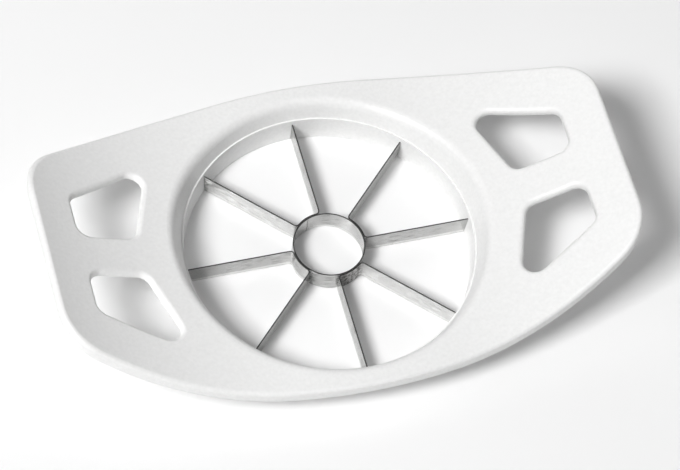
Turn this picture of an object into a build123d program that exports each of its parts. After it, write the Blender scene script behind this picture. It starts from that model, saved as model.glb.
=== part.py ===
"""Push-down apple corer and slicer: a white moulded body, eight steel blades and a steel core ring.

Millimetres. The origin is the middle of the base that stands on the table, +X runs along the
handles and +Z points up. The cutting edges face down.
"""

import os
from math import atan2, degrees, hypot, radians, sqrt, tan

from build123d import *

# Body, seen from above
body_length = 180.0
body_width = 108.6
side_radius = 183.0
end_corner_radius = 16.0

# Body, seen from the side
plate_height = 15.4
plate_thickness = 5.0
flat_half_length = 24.0
sweep_radius = 109.0
plate_edge_radius = 1.2

# Hollows under the handles, inside a rim that is turned down round the edge
web_thickness = 2.4
rim_width = 3.2
ring_land = 8.0
hollow_corner_radius = 2.5
hollow_fillet = 1.0

# Round opening: tapered wall below, narrow shelf, dished wall above
side_wall = 9.9
shelf_height = 9.4
wall_draft = 4.3
shelf_width = 0.5
dish_slope = 20.0
rim_radius = 3.5
skirt_thickness = 3.2
skirt_fillet = 2.0
base_edge_radius = 0.5

# Finger holes, two in each handle
bar_width = 13.0
grip_width = 12.2
web_width = 16.3
hole_outer_width = 13.5
hole_inner_width = 26.4
hole_corner_radius = 3.8
hole_edge_radius = 1.5
hole_lip_radius = 0.3

# Blades and core ring
blade_count = 8
strip_thickness = 0.4
strip_height = 7.3
edge_height = 0.3
bevel_height = 1.5
edge_land = 0.15
anchor_depth = 2.0
seat_clearance = 0.05
ring_radius = 11.25
ring_bevel_height = 1.2
ring_seam_angle = 112.0
ring_seam_gap = 0.2
weld_gap = 0.03
bend_radius = 1.2
weld_dimple_radius = 0.6
weld_dimple_depth = 0.1
weld_dimples = 2

# Worked out from the sizes above
strip_top = edge_height + strip_height
throat_radius = body_width / 2 - side_wall
shelf_radius = throat_radius + shelf_height * tan(radians(wall_draft))
skirt_radius = shelf_radius + skirt_thickness
anchor_radius = throat_radius + anchor_depth
hollow_radius = skirt_radius + ring_land
reach = body_length
hole_circle = throat_radius + web_width
hole_outer_x = body_length / 2 - grip_width
bar_side = bar_width / 2
hole_inner_x = sqrt(hole_circle**2 - bar_side**2)
hole_tip_y = bar_side + hole_inner_width
hole_tip_x = sqrt(hole_circle**2 - hole_tip_y**2)
blade_step = 360 / blade_count
wrap_radius = ring_radius + weld_gap + strip_thickness / 2
bend_x = sqrt((wrap_radius + bend_radius) ** 2 - bend_radius**2)
bend_angle = degrees(atan2(bend_radius, bend_x))

os.makedirs("parts", exist_ok=True)


def plan_radius(edge):
    """Distance of an edge's middle point from the upright axis."""
    middle = edge @ 0.5
    return hypot(middle.X, middle.Y)


def swept_height(level, radius, distance):
    """Height of a swept surface that is flat at level in the middle, at a distance along X."""
    run = distance - flat_half_length
    return level + radius - sqrt(radius**2 - run**2)


def swept_line(level, radius):
    """Draws the flat middle and both rising arcs of one face of the plate, from -X to +X."""
    end_x = body_length / 2 + plate_edge_radius
    end_z = swept_height(level, radius, end_x)
    turn = degrees(atan2(end_x - flat_half_length, radius + level - end_z))
    CenterArc((-flat_half_length, level + radius), radius, 270 - turn, turn)
    Line((-flat_half_length, level), (flat_half_length, level))
    CenterArc((flat_half_length, level + radius), radius, 270, turn)
    return end_x, end_z


def above_web_middle(edge):
    """Tells whether an edge of a finger hole lies on the web's upper face."""
    middle = edge @ 0.5
    half = web_thickness / 2
    return middle.Z > swept_height(plate_height - half, sweep_radius + half, abs(middle.X))


# Swept plate: an even wall that is flat in the middle and curves up into both handles
with BuildPart() as plate:
    with BuildSketch(Plane.XZ) as plate_profile:
        with BuildLine():
            top_x, top_z = swept_line(plate_height, sweep_radius)
            low_x, low_z = swept_line(plate_height - plate_thickness, sweep_radius + plate_thickness)
            Line((top_x, top_z), (low_x, low_z))
            Line((-top_x, top_z), (-low_x, low_z))
        make_face()
    extrude(amount=body_width, both=True)
    with BuildSketch() as plan:
        with Locations((0, body_width / 2 - side_radius)):
            Circle(side_radius)
        with Locations((0, side_radius - body_width / 2)):
            Circle(side_radius, mode=Mode.INTERSECT)
        Rectangle(body_length, body_width, mode=Mode.INTERSECT)
        fillet(plan.vertices(), end_corner_radius)
    extrude(amount=reach, mode=Mode.INTERSECT)
    upright_sides = plate.faces().filter_by(lambda face: abs(face.normal_at().Z) < 0.01)
    fillet(upright_sides.edges().filter_by(Axis.Z, reverse=True), plate_edge_radius)

# Hollows: they leave an even web under the top face of each handle
with BuildPart() as hollows:
    with BuildSketch(Plane.XZ) as web_profile:
        with BuildLine():
            web_x, web_z = swept_line(plate_height - web_thickness, sweep_radius + web_thickness)
            Polyline((web_x, web_z), (web_x, 0), (-web_x, 0), (-web_x, web_z))
        make_face()
    extrude(amount=body_width, both=True)
    with BuildSketch() as hollow_plan:
        add(plan.sketch)
        offset(amount=-rim_width)
        Circle(hollow_radius, mode=Mode.SUBTRACT)
        hollow_tips = hollow_plan.vertices().group_by(lambda corner: hypot(corner.X, corner.Y))[0]
        fillet(hollow_tips, hollow_corner_radius)
    extrude(amount=reach, mode=Mode.INTERSECT)
    ceilings = hollows.faces().filter_by(lambda face: face.normal_at().Z > 0.5)
    fillet(ceilings.edges(), hollow_fillet)

# Body moulding: the plate, the skirt that stands on the table, the opening and the finger holes
with BuildPart() as handle_frame:
    with BuildSketch(Plane.XZ) as skirt_blank:
        with BuildLine():
            blank_x, blank_z = swept_line(plate_height - plate_thickness / 2, sweep_radius)
            Polyline((blank_x, blank_z), (blank_x, 0), (-blank_x, 0), (-blank_x, blank_z))
        make_face()
    extrude(amount=body_width, both=True)
    Cone(
        skirt_radius - shelf_radius + throat_radius,
        skirt_radius + (reach - shelf_height) * tan(radians(wall_draft)),
        reach,
        align=(Align.CENTER, Align.CENTER, Align.MIN),
        mode=Mode.INTERSECT,
    )
    add(plate.part)
    skirt_joint = handle_frame.edges(Select.LAST).filter_by(
        lambda edge: shelf_radius < plan_radius(edge) < skirt_radius + plate_thickness
    )
    fillet(skirt_joint, skirt_fillet)

    with BuildSketch(Plane.XZ) as opening:
        dish_run = (reach - shelf_height) * tan(radians(dish_slope))
        with BuildLine():
            Polyline(
                (0, -reach),
                (throat_radius, -reach),
                (throat_radius, 0),
                (shelf_radius, shelf_height),
                (shelf_radius + shelf_width, shelf_height),
                (shelf_radius + shelf_width + dish_run, reach),
                (0, reach),
                close=True,
            )
        make_face()
    revolve(axis=Axis.Z, mode=Mode.SUBTRACT)
    opening_edges = handle_frame.edges(Select.LAST)
    fillet(opening_edges.filter_by(lambda edge: (edge @ 0.5).Z > plate_height - plate_thickness), rim_radius)
    fillet(handle_frame.edges().group_by(Axis.Z)[0], base_edge_radius)
    add(hollows.part, mode=Mode.SUBTRACT)

    with BuildSketch() as finger_holes:
        with BuildLine():
            Polyline(
                (hole_inner_x, bar_side),
                (hole_outer_x, bar_side),
                (hole_outer_x, bar_side + hole_outer_width),
                (hole_tip_x, hole_tip_y),
                close=True,
            )
        make_face()
        fillet(finger_holes.vertices(), hole_corner_radius)
        mirror(about=Plane.XZ)
        mirror(about=Plane.YZ)
    extrude(amount=reach, mode=Mode.SUBTRACT)
    hole_edges = handle_frame.edges(Select.LAST).filter_by(Axis.Z, reverse=True)
    hole_rims = hole_edges.filter_by(above_web_middle)
    fillet(hole_rims, hole_edge_radius)
    hole_lips = hole_edges - hole_rims
    fillet(hole_lips, hole_lip_radius)

    # Slots in the lower wall that hold the blades' outer ends, closed above and open at the base
    with PolarLocations(0, blade_count):
        with Locations((anchor_radius + seat_clearance, 0, strip_top + seat_clearance)):
            Box(
                2 * anchor_depth,
                strip_thickness + 2 * seat_clearance,
                2 * strip_top,
                align=(Align.MAX, Align.CENTER, Align.MAX),
                mode=Mode.SUBTRACT,
            )
handle_frame.part.label = "handle_frame"
export_step(handle_frame.part, "parts/handle_frame.step")

# Core ring: a rolled strip, ground to an edge inside its lower rim, with a butt seam
with BuildPart() as core_ring:
    with BuildSketch(Plane.XZ):
        with BuildLine():
            Polyline(
                (ring_radius, edge_height),
                (ring_radius, strip_top),
                (ring_radius - strip_thickness, strip_top),
                (ring_radius - strip_thickness, edge_height + ring_bevel_height),
                (ring_radius - edge_land, edge_height),
                close=True,
            )
        make_face()
    revolve(axis=Axis.Z)
    with BuildSketch(Plane.XY.rotated((0, 0, ring_seam_angle))):
        with Locations((ring_radius, 0)):
            Rectangle(4 * strip_thickness, ring_seam_gap)
    extrude(amount=2 * strip_top, mode=Mode.SUBTRACT)
core_ring.part.label = "core_ring"
export_step(core_ring.part, "parts/core_ring.step")

# Strip: ground below and bent round the core ring, so that its two straight ends are two blades
with BuildPart() as strip_form:
    with BuildLine() as strip_line:
        outer_run = Line((anchor_radius, 0), (bend_x, 0))
        CenterArc((bend_x, bend_radius), bend_radius, -90, bend_angle - 90)
        CenterArc((0, 0), wrap_radius, bend_angle, blade_step / 2 - bend_angle)
        mirror(about=Plane.XZ.rotated((0, 0, blade_step / 2)))
    with BuildSketch(Plane(origin=outer_run @ 0, x_dir=(0, -1, 0), z_dir=(-1, 0, 0))):
        with BuildLine():
            Polyline(
                (edge_land / 2, edge_height),
                (strip_thickness / 2, edge_height + bevel_height),
                (strip_thickness / 2, strip_top),
                (-strip_thickness / 2, strip_top),
                (-strip_thickness / 2, edge_height + bevel_height),
                (-edge_land / 2, edge_height),
                close=True,
            )
        make_face()
    sweep(path=strip_line.wire())
    weld_height = (edge_height + bevel_height + strip_top) / 2
    weld_step = (blade_step - 2 * bend_angle) / (weld_dimples + 1)
    for dimple in range(weld_dimples):
        outward = Vector(1, 0, 0).rotate(Axis.Z, bend_angle + weld_step * (dimple + 1))
        middle = outward * (wrap_radius + strip_thickness / 2) + Vector(0, 0, weld_height)
        with Locations(Plane(origin=middle, z_dir=outward).offset(-weld_dimple_depth)):
            Cylinder(
                weld_dimple_radius,
                2 * weld_dimple_depth,
                align=(Align.CENTER, Align.CENTER, Align.MIN),
                mode=Mode.SUBTRACT,
            )

# Blade pairs: the same strip in each quarter, welded to the ring over every second gap
for index in range(blade_count // 2):
    with BuildPart() as blade_pair:
        add(strip_form.part, rotation=(0, 0, 2 * blade_step * index))
    name = f"blade_pair_{index + 1}"
    blade_pair.part.label = name
    export_step(blade_pair.part, f"parts/{name}.step")
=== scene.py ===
"""Looks of a push-down apple corer and slicer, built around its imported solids.

The moulded body keeps its solid and gets a satin white plastic. The blades and the core ring are
modelled again as rolled, ground and welded strips in the places of their solids. Every length is
in metres, in the frame of the solids: the base stands at height 0 and the handles run along X.
"""

import logging
import math
from dataclasses import dataclass
from enum import Enum

import bmesh
import bpy
from mathutils import Matrix, Vector


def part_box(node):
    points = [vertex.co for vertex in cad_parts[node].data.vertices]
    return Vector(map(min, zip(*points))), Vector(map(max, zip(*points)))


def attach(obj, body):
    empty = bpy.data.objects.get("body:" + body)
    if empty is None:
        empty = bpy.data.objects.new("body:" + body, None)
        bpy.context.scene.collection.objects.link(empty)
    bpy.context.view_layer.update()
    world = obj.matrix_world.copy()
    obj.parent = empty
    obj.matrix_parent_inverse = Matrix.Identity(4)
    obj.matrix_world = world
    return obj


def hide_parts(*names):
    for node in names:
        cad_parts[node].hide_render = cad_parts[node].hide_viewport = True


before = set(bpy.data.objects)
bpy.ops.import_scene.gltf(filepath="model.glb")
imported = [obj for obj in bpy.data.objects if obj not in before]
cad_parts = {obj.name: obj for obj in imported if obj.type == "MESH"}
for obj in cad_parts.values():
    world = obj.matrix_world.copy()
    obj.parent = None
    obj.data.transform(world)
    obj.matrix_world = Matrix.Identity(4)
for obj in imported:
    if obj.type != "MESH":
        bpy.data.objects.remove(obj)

Colour = tuple[float, float, float]
Scale = tuple[float, float, float]

MM = 0.001
BODY = "root"
PHOTO_WIDTH = 680
EVEN: Scale = (1.0, 1.0, 1.0)

# Map of the steel strips, with room from one strip to the next and a small shift between their sides.
STRIP_MAP = "strip"
STRIP_PITCH = 0.1
SIDE_SHIFT = 0.01

# Dark tint that welding leaves on the steel, with its strength on each pair of blades in turn.
HEAT_MAP = "weld_tint"
HEAT_COLOUR: Colour = (0.09, 0.085, 0.08)
HEAT_TINTS = (0.4, 0.4, 0.2, 1.0)

# Limits on the steel strips: cuts, doubled points, sharp edges, level faces and leaning faces.
CUT_SNAP = 0.0001 * MM
MERGE_DISTANCE = 0.0005 * MM
SHARP_ANGLE = math.radians(35)
LEVEL_NORMAL = 0.9
LEANING_NORMAL = -0.02

log = logging.getLogger("apple_slicer")


class Slot(Enum):
    """Material slots of the record."""

    PLASTIC = "white_plastic"
    STEEL = "stainless_steel"


class StripFace(Enum):
    """Kinds of surface on a steel strip, in the order of its material slots."""

    ROLLED = 0
    GROUND = 1
    SHEARED = 2


class NodeBoard:
    """A node material that is filled by small steps."""

    def __init__(self, name: str) -> None:
        """Starts an empty material with an output.

        Args:
            name: Name of the material.
        """
        self.material = bpy.data.materials.new(name)
        self.material.use_nodes = True
        self.tree = self.material.node_tree
        self.tree.nodes.clear()
        self.output = self.add("ShaderNodeOutputMaterial")

    def add(self, kind: str, **settings: object) -> bpy.types.Node:
        """Adds one node.

        Args:
            kind: Node type.
            settings: Node properties to set.

        Returns:
            The new node.
        """
        node = self.tree.nodes.new(kind)
        for key, value in settings.items():
            setattr(node, key, value)
        return node

    def link(self, source: bpy.types.NodeSocket, target: bpy.types.NodeSocket) -> None:
        """Joins an output socket to an input socket."""
        self.tree.links.new(source, target)

    def shader(self, **values: object) -> bpy.types.Node:
        """Adds the surface shader, with its even values set on its own sockets.

        Args:
            values: Socket names, with underscores for spaces, and their values.

        Returns:
            The shader node.
        """
        shader = self.add("ShaderNodeBsdfPrincipled")
        for key, value in values.items():
            shader.inputs[key.replace("_", " ")].default_value = value
        self.link(shader.outputs["BSDF"], self.output.inputs["Surface"])
        return shader

    def coordinates(self, kind: str, scale: Scale) -> bpy.types.NodeSocket:
        """Adds scaled texture coordinates.

        Args:
            kind: Output of the coordinate node, Object or UV.
            scale: Scale along each axis.

        Returns:
            The scaled vector.
        """
        source = self.add("ShaderNodeTexCoord")
        mapping = self.add("ShaderNodeMapping")
        mapping.inputs["Scale"].default_value = scale
        self.link(source.outputs[kind], mapping.inputs["Vector"])
        return mapping.outputs["Vector"]

    def noise(
        self, vector: bpy.types.NodeSocket, scale: float, detail: float
    ) -> bpy.types.NodeSocket:
        """Adds a noise pattern.

        Args:
            vector: Where the pattern is read.
            scale: Cells per unit of the vector.
            detail: Number of finer octaves.

        Returns:
            The pattern, from 0 to 1.
        """
        noise = self.add("ShaderNodeTexNoise")
        noise.inputs["Scale"].default_value = scale
        noise.inputs["Detail"].default_value = detail
        self.link(vector, noise.inputs["Vector"])
        return noise.outputs["Fac"]

    def spread(
        self,
        value: bpy.types.NodeSocket,
        low: float,
        high: float,
        start: float = 0.25,
        stop: float = 0.75,
    ) -> bpy.types.NodeSocket:
        """Spreads a part of a pattern over a range.

        Args:
            value: Pattern from 0 to 1.
            low: Result up to the start of the part.
            high: Result from the end of the part.
            start: Pattern value where the part starts.
            stop: Pattern value where the part ends.

        Returns:
            The spread value.
        """
        ranged = self.add("ShaderNodeMapRange")
        ranged.inputs["From Min"].default_value = start
        ranged.inputs["From Max"].default_value = stop
        ranged.inputs["To Min"].default_value = low
        ranged.inputs["To Max"].default_value = high
        self.link(value, ranged.inputs["Value"])
        return ranged.outputs["Result"]

    def tint(
        self, value: bpy.types.NodeSocket, low: Colour, high: Colour
    ) -> bpy.types.NodeSocket:
        """Turns a pattern into a colour between two colours.

        Args:
            value: Pattern from 0 to 1.
            low: Colour at 0.
            high: Colour at 1.

        Returns:
            The colour.
        """
        mix = self.add("ShaderNodeMix", data_type="RGBA")
        mix.inputs["A"].default_value = (*low, 1.0)
        mix.inputs["B"].default_value = (*high, 1.0)
        self.link(value, mix.inputs["Factor"])
        return mix.outputs["Result"]

    def bump(
        self, height: bpy.types.NodeSocket, strength: float, depth: float
    ) -> bpy.types.NodeSocket:
        """Turns a pattern into a bumped normal.

        Args:
            height: Pattern from 0 to 1.
            strength: Share of the bump that is kept.
            depth: Height of the bump.

        Returns:
            The normal.
        """
        bump = self.add("ShaderNodeBump")
        bump.inputs["Strength"].default_value = strength
        bump.inputs["Distance"].default_value = depth
        self.link(height, bump.inputs["Height"])
        return bump.outputs["Normal"]


@dataclass(frozen=True)
class SatinPlastic:
    """White moulded plastic with a fine satin grain."""

    name: str = "satin_white_plastic"
    shade: Colour = (0.825, 0.825, 0.82)
    light: Colour = (0.945, 0.945, 0.94)
    refraction: float = 1.49
    cloud_scale: float = 45.0
    cloud_detail: float = 3.0
    grain_scale: float = 900.0
    grain_detail: float = 2.0
    grain_strength: float = 0.30
    grain_depth: float = 0.02 * MM
    gloss_low: float = 0.36
    gloss_high: float = 0.48

    def material(self) -> bpy.types.Material:
        """Builds the material.

        Returns:
            The material.
        """
        board = NodeBoard(self.name)
        shader = board.shader(IOR=self.refraction)
        place = board.coordinates("Object", EVEN)
        cloud = board.noise(place, self.cloud_scale, self.cloud_detail)
        grain = board.noise(place, self.grain_scale, self.grain_detail)
        gloss = board.spread(cloud, self.gloss_low, self.gloss_high)
        normal = board.bump(grain, self.grain_strength, self.grain_depth)
        board.link(board.tint(grain, self.shade, self.light), shader.inputs["Base Color"])
        board.link(gloss, shader.inputs["Roughness"])
        board.link(normal, shader.inputs["Normal"])
        return board.material


@dataclass(frozen=True)
class StripSteel:
    """Stainless steel with fine lines that run one way over the strip's own map."""

    name: str
    dark: Colour
    light: Colour
    line_scale: Scale
    gloss_low: float
    gloss_high: float
    line_strength: float
    grain_pull: float
    rough_start: float = 0.25
    rough_stop: float = 0.75
    line_depth: float = 0.004 * MM
    line_detail: float = 3.0
    grain_turn: float = 0.25
    cloud_scale: float = 420.0
    cloud_detail: float = 3.0
    burn_scale: float = 900.0
    burn_detail: float = 2.0
    burn_start: float = 0.4
    burn_stop: float = 0.6
    burn_full: float = 1.0
    burn_least: float = 0.3

    def material(self) -> bpy.types.Material:
        """Builds the material.

        Returns:
            The material.
        """
        board = NodeBoard(self.name)
        shader = board.shader(
            Metallic=1.0, Anisotropic=self.grain_pull, Anisotropic_Rotation=self.grain_turn
        )
        along = board.add("ShaderNodeTangent", direction_type="UV_MAP", uv_map=STRIP_MAP)
        board.link(along.outputs["Tangent"], shader.inputs["Tangent"])
        lines = board.noise(board.coordinates("UV", self.line_scale), 1.0, self.line_detail)
        place = board.coordinates("UV", EVEN)
        cloud = board.noise(place, self.cloud_scale, self.cloud_detail)
        burns = board.noise(place, self.burn_scale, self.burn_detail)
        burnt = board.spread(
            burns, self.burn_full, self.burn_least, self.burn_start, self.burn_stop
        )
        heat = board.add("ShaderNodeAttribute", attribute_name=HEAT_MAP)
        tint = board.add("ShaderNodeMath", operation="MULTIPLY")
        board.link(heat.outputs["Fac"], tint.inputs[0])
        board.link(burnt, tint.inputs[1])
        colour = board.tint(tint.outputs["Value"], self.dark, HEAT_COLOUR)
        board.link(board.tint(cloud, self.dark, self.light), colour.node.inputs["A"])
        board.link(colour, shader.inputs["Base Color"])
        gloss = board.spread(
            lines, self.gloss_low, self.gloss_high, self.rough_start, self.rough_stop
        )
        board.link(gloss, shader.inputs["Roughness"])
        normal = board.bump(lines, self.line_strength, self.line_depth)
        board.link(normal, shader.inputs["Normal"])
        return board.material


ROLLED_STEEL = StripSteel(
    name="rolled_steel",
    dark=(0.51, 0.51, 0.505),
    light=(0.57, 0.57, 0.565),
    line_scale=(220.0, 9000.0, 1.0),
    gloss_low=0.06,
    gloss_high=0.60,
    line_strength=0.15,
    grain_pull=1.0,
    rough_start=0.50,
    rough_stop=0.60,
)
GROUND_STEEL = StripSteel(
    name="ground_steel",
    dark=(0.62, 0.62, 0.61),
    light=(0.76, 0.76, 0.75),
    line_scale=(12000.0, 300.0, 1.0),
    gloss_low=0.20,
    gloss_high=0.36,
    line_strength=0.40,
    grain_pull=0.0,
)
# Sheared rims along the tops and bottoms of the strips: their colour is near-black, far darker than
# steel, which paints the dark shade and dark reflection that the rims show.
SHEARED_STEEL_AND_PAINTED_SHADE = StripSteel(
    name="sheared_steel_painted_shade",
    dark=(0.08, 0.08, 0.079),
    light=(0.16, 0.16, 0.158),
    line_scale=(6000.0, 6000.0, 1.0),
    gloss_low=0.35,
    gloss_high=0.55,
    line_strength=0.60,
    grain_pull=0.0,
)


def strip_finishes() -> list[bpy.types.Material]:
    """Builds the finishes of a steel strip, whose sheared finish is darkened to paint the rims'
    shade.

    Returns:
        One material for each kind of strip face, in that order.
    """
    return [finish.material() for finish in (ROLLED_STEEL, GROUND_STEEL, SHEARED_STEEL_AND_PAINTED_SHADE)]


def add_piece(
    name: str, mesh: bmesh.types.BMesh, materials: list[bpy.types.Material]
) -> bpy.types.Object:
    """Turns a bmesh into an object at the origin.

    Args:
        name: Name of the piece.
        mesh: Finished mesh, which is freed.
        materials: Materials in the order of the faces' material numbers.

    Returns:
        The new object.
    """
    data = bpy.data.meshes.new(name)
    mesh.to_mesh(data)
    mesh.free()
    for material in materials:
        data.materials.append(material)
    data.polygons.foreach_set("use_smooth", [True] * len(data.polygons))
    data.set_sharp_from_angle(angle=SHARP_ANGLE)
    piece = bpy.data.objects.new(name, data)
    bpy.context.scene.collection.objects.link(piece)
    return piece


def dress_strip_faces(mesh: bmesh.types.BMesh, shoulder: float) -> None:
    """Gives each face of a strip its kind of surface.

    Args:
        mesh: Strip whose normals are right.
        shoulder: Height where the ground edge starts.
    """
    for face in mesh.faces:
        upright = face.normal.z
        if abs(upright) > LEVEL_NORMAL:
            face.material_index = StripFace.SHEARED.value
        elif upright < LEANING_NORMAL and face.calc_center_median().z < shoulder:
            face.material_index = StripFace.GROUND.value
        else:
            face.material_index = StripFace.ROLLED.value


def open_edges(mesh: bmesh.types.BMesh) -> int:
    """Counts the edges that two faces do not share, which a closed mesh has none of."""
    return sum(len(edge.link_faces) != 2 for edge in mesh.edges)


def tidy(mesh: bmesh.types.BMesh) -> None:
    """Merges doubled points and turns all faces outwards."""
    bmesh.ops.remove_doubles(mesh, verts=mesh.verts, dist=MERGE_DISTANCE)
    bmesh.ops.recalc_face_normals(mesh, faces=mesh.faces)


@dataclass
class BladePair:
    """One strip, ground below and bent round the core ring, whose two straight ends are two blades.

    It is built with its first blade along +X and then turned to its place.
    """

    number: int
    step: float
    thickness: float
    outer_radius: float
    edge_height: float
    top: float
    ring_radius: float
    heat: float
    bevel_height: float = 1.5 * MM
    edge_land: float = 0.15 * MM
    bend_radius: float = 1.2 * MM
    weld_gap: float = 0.03 * MM
    rows: int = 26
    straight_steps: int = 16
    bend_steps: int = 10
    wrap_steps: int = 48
    dent_count: int = 2
    dent_radius: float = 0.75 * MM
    dent_depth: float = 0.10 * MM
    heat_power: int = 4

    def __post_init__(self) -> None:
        """Works out the strip's line from its sizes."""
        self.name = f"blade_pair_{self.number}"
        self.angle = (self.number - 1) * 2 * self.step
        self.shoulder = self.edge_height + self.bevel_height
        self.wrap_radius = self.ring_radius + self.weld_gap + self.thickness / 2
        self.wrap_face = self.wrap_radius + self.thickness / 2
        self.bend_x = math.sqrt((self.wrap_radius + self.bend_radius) ** 2 - self.bend_radius**2)
        self.bend_angle = math.atan2(self.bend_radius, self.bend_x)
        self.wrap_sweep = self.step - 2 * self.bend_angle
        self.straight = self.outer_radius - self.bend_x
        self.bend = self.bend_radius * (math.pi / 2 - self.bend_angle)
        self.wrap = self.wrap_radius * self.wrap_sweep
        self.length = 2 * self.straight + 2 * self.bend + self.wrap

    def flat_strip(self) -> bmesh.types.BMesh:
        """Models the strip before it is bent, with its length along X, and lays its map over it.

        Returns:
            The closed mesh, cut across wherever it will bend and along its height.
        """
        mesh = bmesh.new()
        bmesh.ops.create_cube(mesh, size=1)
        size = Vector((self.length, self.thickness, self.top - self.edge_height))
        bmesh.ops.scale(mesh, verts=mesh.verts, vec=size)
        middle = (self.length / 2, 0, self.edge_height + size.z / 2)
        bmesh.ops.translate(mesh, verts=mesh.verts, vec=middle)
        run = 0.0
        cuts = []
        for span, steps in (
            (self.straight, self.straight_steps),
            (self.bend, self.bend_steps),
            (self.wrap, self.wrap_steps),
            (self.bend, self.bend_steps),
            (self.straight, self.straight_steps),
        ):
            cuts += [Vector((run + span * step / steps, 0, 0)) for step in range(steps)]
            run += span
        for cut in cuts[1:]:
            self.slice(mesh, cut, Vector((1, 0, 0)))
        for row in range(self.rows):
            height = self.shoulder + (self.top - self.shoulder) * row / self.rows
            self.slice(mesh, Vector((0, 0, height)), Vector((0, 0, 1)))
        for vert in mesh.verts:
            if vert.co.z < (self.edge_height + self.shoulder) / 2:
                vert.co.y *= self.edge_land / self.thickness
        layer = mesh.loops.layers.uv.new(STRIP_MAP)
        for face in mesh.faces:
            for loop in face.loops:
                point = loop.vert.co
                along = point.x + self.number * STRIP_PITCH
                loop[layer].uv = (along, point.z + point.y * SIDE_SHIFT)
        warmth = mesh.verts.layers.float.new(HEAT_MAP)
        reach = self.wrap / 2 + self.bend
        for vert in mesh.verts:
            away = min(abs(vert.co.x - self.length / 2) / reach, 1.0)
            vert[warmth] = self.heat * (1 - away**self.heat_power)
        return mesh

    @staticmethod
    def slice(mesh: bmesh.types.BMesh, point: Vector, way: Vector) -> None:
        """Cuts edges into the whole strip where a plane crosses it.

        Args:
            mesh: Mesh to cut.
            point: Point on the plane.
            way: Way that the plane faces.
        """
        parts = [*mesh.verts, *mesh.edges, *mesh.faces]
        bmesh.ops.bisect_plane(mesh, geom=parts, dist=CUT_SNAP, plane_co=point, plane_no=way)

    def bent(self, point: Vector) -> Vector:
        """Finds where a point of the flat strip lies after bending.

        Args:
            point: Point of the flat strip.

        Returns:
            The point of the bent strip, with the first blade along +X.
        """
        run, side, height = point
        second = run > self.length / 2
        run = self.length - run if second else run
        if run <= self.straight:
            x, y = self.outer_radius - run, side
        elif run <= self.straight + self.bend:
            turn = (run - self.straight) / self.bend_radius
            reach = self.bend_radius - side
            x, y = self.bend_x - reach * math.sin(turn), self.bend_radius - reach * math.cos(turn)
        else:
            turn = self.bend_angle + (run - self.straight - self.bend) / self.wrap_radius
            reach = self.wrap_radius + side
            x, y = reach * math.cos(turn), reach * math.sin(turn)
        if second:
            across, upward = math.cos(self.step), math.sin(self.step)
            x, y = x * across + y * upward, x * upward - y * across
        return Vector((x, y, height))

    def press_welds(self, mesh: bmesh.types.BMesh) -> None:
        """Presses the round dents of the spot welds into the outer face round the ring."""
        height = (self.shoulder + self.top) / 2
        pitch = self.wrap_sweep / (self.dent_count + 1)
        for dent in range(self.dent_count):
            turn = self.bend_angle + pitch * (dent + 1)
            outward = Vector((math.cos(turn), math.sin(turn), 0))
            middle = outward * self.wrap_face + Vector((0, 0, height))
            for vert in mesh.verts:
                on_face = math.hypot(vert.co.x, vert.co.y) > self.wrap_radius
                distance = (vert.co - middle).length / self.dent_radius
                if on_face and distance < 1:
                    vert.co -= outward * self.dent_depth * (1 - distance**2) ** 2

    def build(self) -> bmesh.types.BMesh:
        """Models the strip in its place.

        Returns:
            The closed mesh.
        """
        mesh = self.flat_strip()
        for vert in mesh.verts:
            vert.co = self.bent(vert.co)
        tidy(mesh)
        log.info("%s: %d edges are not shared by two faces", self.name, open_edges(mesh))
        self.press_welds(mesh)
        mesh.normal_update()
        dress_strip_faces(mesh, self.shoulder)
        turn = Matrix.Rotation(self.angle, 3, "Z")
        bmesh.ops.rotate(mesh, verts=mesh.verts, cent=(0, 0, 0), matrix=turn)
        return mesh

    def dress(self, finishes: list[bpy.types.Material]) -> bpy.types.Object:
        """Builds the pair, gives it its finishes and puts it in place of its solid.

        Args:
            finishes: Finishes of the strip's kinds of face.

        Returns:
            The pair of blades.
        """
        piece = add_piece(f"{self.name}_strip", self.build(), finishes)
        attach(piece, BODY)
        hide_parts(self.name)
        return piece


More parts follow.
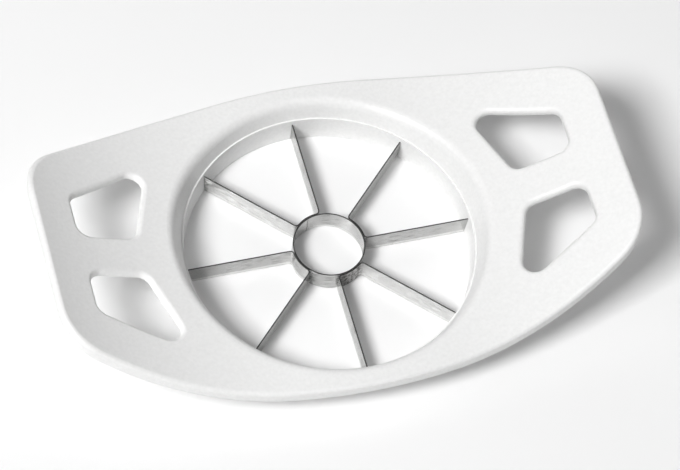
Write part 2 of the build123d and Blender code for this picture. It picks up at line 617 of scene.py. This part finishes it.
@dataclass
class CoreRing:
    """Rolled strip that cuts the core, ground to an edge inside its lower rim, with a butt seam."""

    radius: float
    edge_height: float
    top: float
    thickness: float
    bevel_height: float = 1.2 * MM
    edge_land: float = 0.15 * MM
    seam_angle: float = math.radians(112)
    seam_gap: float = 0.2 * MM
    steps: int = 180

    def build(self) -> bmesh.types.BMesh:
        """Models the ring in its place.

        Returns:
            The closed mesh.
        """
        inside = self.radius - self.thickness
        shoulder = self.edge_height + self.bevel_height
        section = (
            (self.radius, self.edge_height),
            (self.radius, self.top),
            (inside, self.top),
            (inside, shoulder),
            (self.radius - self.edge_land, self.edge_height),
        )
        mesh = bmesh.new()
        face = mesh.faces.new([mesh.verts.new((x, 0, z)) for x, z in section])
        gap = self.seam_gap / self.radius
        to_seam = Matrix.Rotation(self.seam_angle + gap / 2, 3, "Z")
        bmesh.ops.rotate(mesh, verts=mesh.verts, cent=(0, 0, 0), matrix=to_seam)
        bmesh.ops.spin(
            mesh,
            geom=[face, *face.edges, *face.verts],
            cent=(0, 0, 0),
            axis=(0, 0, 1),
            angle=math.tau - gap,
            steps=self.steps,
            use_duplicate=False,
        )
        tidy(mesh)
        log.info("core ring: %d edges are not shared by two faces", open_edges(mesh))
        dress_strip_faces(mesh, shoulder)
        layer = mesh.loops.layers.uv.new(STRIP_MAP)
        for face in mesh.faces:
            middle = face.calc_center_median()
            face_turn = math.atan2(middle.y, middle.x)
            for loop in face.loops:
                point = loop.vert.co
                turn = math.atan2(point.y, point.x)
                if turn - face_turn > math.pi:
                    turn -= math.tau
                elif face_turn - turn > math.pi:
                    turn += math.tau
                loop[layer].uv = (turn * self.radius, point.z)
        return mesh

    def dress(self, finishes: list[bpy.types.Material]) -> bpy.types.Object:
        """Builds the ring, gives it its finishes and puts it in place of its solid.

        Args:
            finishes: Finishes of the strip's kinds of face.

        Returns:
            The ring.
        """
        piece = add_piece("core_ring_strip", self.build(), finishes)
        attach(piece, BODY)
        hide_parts("core_ring")
        return piece


@dataclass
class MouldedBody:
    """The white body, which keeps its solid."""

    node: str = "handle_frame"

    def dress(self, plastic: bpy.types.Material) -> bpy.types.Object:
        """Gives the body its plastic.

        Args:
            plastic: Finish of the body.

        Returns:
            The body's object.
        """
        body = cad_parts[self.node]
        body.data.materials.clear()
        body.data.materials.append(plastic)
        return body


@dataclass(frozen=True)
class PaleTable:
    """Pale matt table that the object stands on."""

    name: str = "pale_table"
    shade: Colour = (0.945, 0.945, 0.945)
    light: Colour = (0.965, 0.965, 0.965)
    gloss: float = 0.7
    cloud_scale: float = 9.0
    cloud_detail: float = 2.0

    def material(self) -> bpy.types.Material:
        """Builds the material, clear from below so that the underside can be looked at.

        Returns:
            The material.
        """
        board = NodeBoard(self.name)
        shader = board.shader(Roughness=self.gloss)
        place = board.coordinates("Object", EVEN)
        cloud = board.noise(place, self.cloud_scale, self.cloud_detail)
        board.link(board.tint(cloud, self.shade, self.light), shader.inputs["Base Color"])
        clear = board.add("ShaderNodeBsdfTransparent")
        side = board.add("ShaderNodeNewGeometry")
        mix = board.add("ShaderNodeMixShader")
        board.link(side.outputs["Backfacing"], mix.inputs["Fac"])
        board.link(shader.outputs["BSDF"], mix.inputs[1])
        board.link(clear.outputs["BSDF"], mix.inputs[2])
        board.link(mix.outputs["Shader"], board.output.inputs["Surface"])
        return board.material


@dataclass
class Lamp:
    """One square soft light that points at the object."""

    name: str
    azimuth: float
    elevation: float
    power: float
    size: float = 1.8
    distance: float = 2.0

    def place(self, target: Vector) -> bpy.types.Object:
        """Hangs the lamp.

        Args:
            target: Point that the lamp looks at.

        Returns:
            The lamp.
        """
        turn, rise = math.radians(self.azimuth), math.radians(self.elevation)
        level = math.cos(rise)
        away = Vector((math.cos(turn) * level, math.sin(turn) * level, math.sin(rise)))
        light = bpy.data.lights.new(self.name, "AREA")
        light.shape = "SQUARE"
        light.size = self.size
        light.energy = self.power
        lamp = bpy.data.objects.new(self.name, light)
        lamp.location = target + away * self.distance
        lamp.rotation_euler = away.to_track_quat("Z", "Y").to_euler()
        bpy.context.scene.collection.objects.link(lamp)
        return lamp


@dataclass
class Studio:
    """Table, soft light and the camera at the photo's angle."""

    focal_px: float = 3000.3
    azimuth: float = math.radians(-23.843)
    elevation: float = math.radians(58.043)
    roll: float = math.radians(10.203)
    distance: float = 926.517 * MM
    target: Vector = Vector((4.158 * MM, 2.5205 * MM, 7.6 * MM))
    sensor: float = 36.0
    table_size: float = 4.0
    table_cuts: int = 4
    sky_low: Colour = (0.015, 0.015, 0.015)
    sky_high: Colour = (0.01, 0.01, 0.01)
    lamps: tuple[Lamp, ...] = (
        Lamp("key_light", azimuth=205.0, elevation=51.0, power=34.5, size=0.6),
        Lamp("left_panel", azimuth=190.0, elevation=60.0, power=6.0),
        Lamp("front_panel", azimuth=305.0, elevation=42.0, power=5.0),
        Lamp("far_panel", azimuth=62.0, elevation=26.0, power=9.5),
        Lamp("top_panel", azimuth=0.0, elevation=88.0, power=2.0),
    )

    def lay_table(self) -> bpy.types.Object:
        """Lays the table under the object.

        Returns:
            The table.
        """
        mesh = bmesh.new()
        cuts = self.table_cuts
        bmesh.ops.create_grid(mesh, x_segments=cuts, y_segments=cuts, size=self.table_size / 2)
        table = add_piece("table", mesh, [PaleTable().material()])
        return table

    def light(self) -> None:
        """Lights the scene with lamps and a soft sky that is darker overhead."""
        for lamp in self.lamps:
            lamp.place(self.target)
        world = bpy.data.worlds.new("studio")
        bpy.context.scene.world = world
        world.use_nodes = True
        tree = world.node_tree
        tree.nodes.clear()
        place = tree.nodes.new("ShaderNodeTexCoord")
        parts = tree.nodes.new("ShaderNodeSeparateXYZ")
        mix = tree.nodes.new("ShaderNodeMix")
        mix.data_type = "RGBA"
        mix.inputs["A"].default_value = (*self.sky_low, 1.0)
        mix.inputs["B"].default_value = (*self.sky_high, 1.0)
        sky = tree.nodes.new("ShaderNodeBackground")
        output = tree.nodes.new("ShaderNodeOutputWorld")
        tree.links.new(place.outputs["Generated"], parts.inputs["Vector"])
        tree.links.new(parts.outputs["Z"], mix.inputs["Factor"])
        tree.links.new(mix.outputs["Result"], sky.inputs["Color"])
        tree.links.new(sky.outputs["Background"], output.inputs["Surface"])

    def aim(self) -> bpy.types.Object:
        """Places the camera at the photo's angle.

        Returns:
            The camera.
        """
        back = Vector(
            (
                math.sin(self.azimuth) * math.cos(self.elevation),
                -math.cos(self.azimuth) * math.cos(self.elevation),
                math.sin(self.elevation),
            )
        )
        level = Vector((math.cos(self.azimuth), math.sin(self.azimuth), 0))
        turned = Matrix.Rotation(self.roll, 3, back)
        across = turned @ level
        upward = turned @ back.cross(level)
        data = bpy.data.cameras.new("camera")
        data.sensor_width = self.sensor
        data.lens = self.focal_px * self.sensor / PHOTO_WIDTH
        camera = bpy.data.objects.new("camera", data)
        turn = Matrix((across, upward, back)).transposed().to_4x4()
        camera.matrix_world = Matrix.Translation(self.target + back * self.distance) @ turn
        bpy.context.scene.collection.objects.link(camera)
        bpy.context.scene.camera = camera
        return camera


def read_pairs(count: int) -> list[BladePair]:
    """Reads the strips' sizes from the solids: the first pair has a blade along +X.

    Args:
        count: Number of pairs.

    Returns:
        The pairs in order round the ring.
    """
    low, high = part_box("blade_pair_1")
    ring_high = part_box("core_ring")[1]
    return [
        BladePair(
            number=number,
            step=math.pi / count,
            thickness=-2 * low.y,
            outer_radius=high.x,
            edge_height=low.z,
            top=high.z,
            ring_radius=ring_high.x,
            heat=HEAT_TINTS[(number - 1) % len(HEAT_TINTS)],
        )
        for number in range(1, count + 1)
    ]


def main() -> None:
    """Builds and dresses the pieces in order and sets the studio."""
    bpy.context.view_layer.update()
    bpy.context.scene.view_settings.view_transform = "Standard"
    body = MouldedBody().dress(SatinPlastic().material())
    log.info("dressed %s", body.name)
    finishes = strip_finishes()
    pairs = read_pairs(sum(name.startswith("blade_pair_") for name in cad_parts))
    for pair in pairs:
        log.info("built %s", pair.dress(finishes).name)
    first = pairs[0]
    ring = CoreRing(first.ring_radius, first.edge_height, first.top, first.thickness)
    log.info("built %s", ring.dress(finishes).name)
    studio = Studio()
    studio.lay_table()
    studio.light()
    studio.aim()


if __name__ == "__main__":
    logging.basicConfig(level=logging.INFO)
    main()
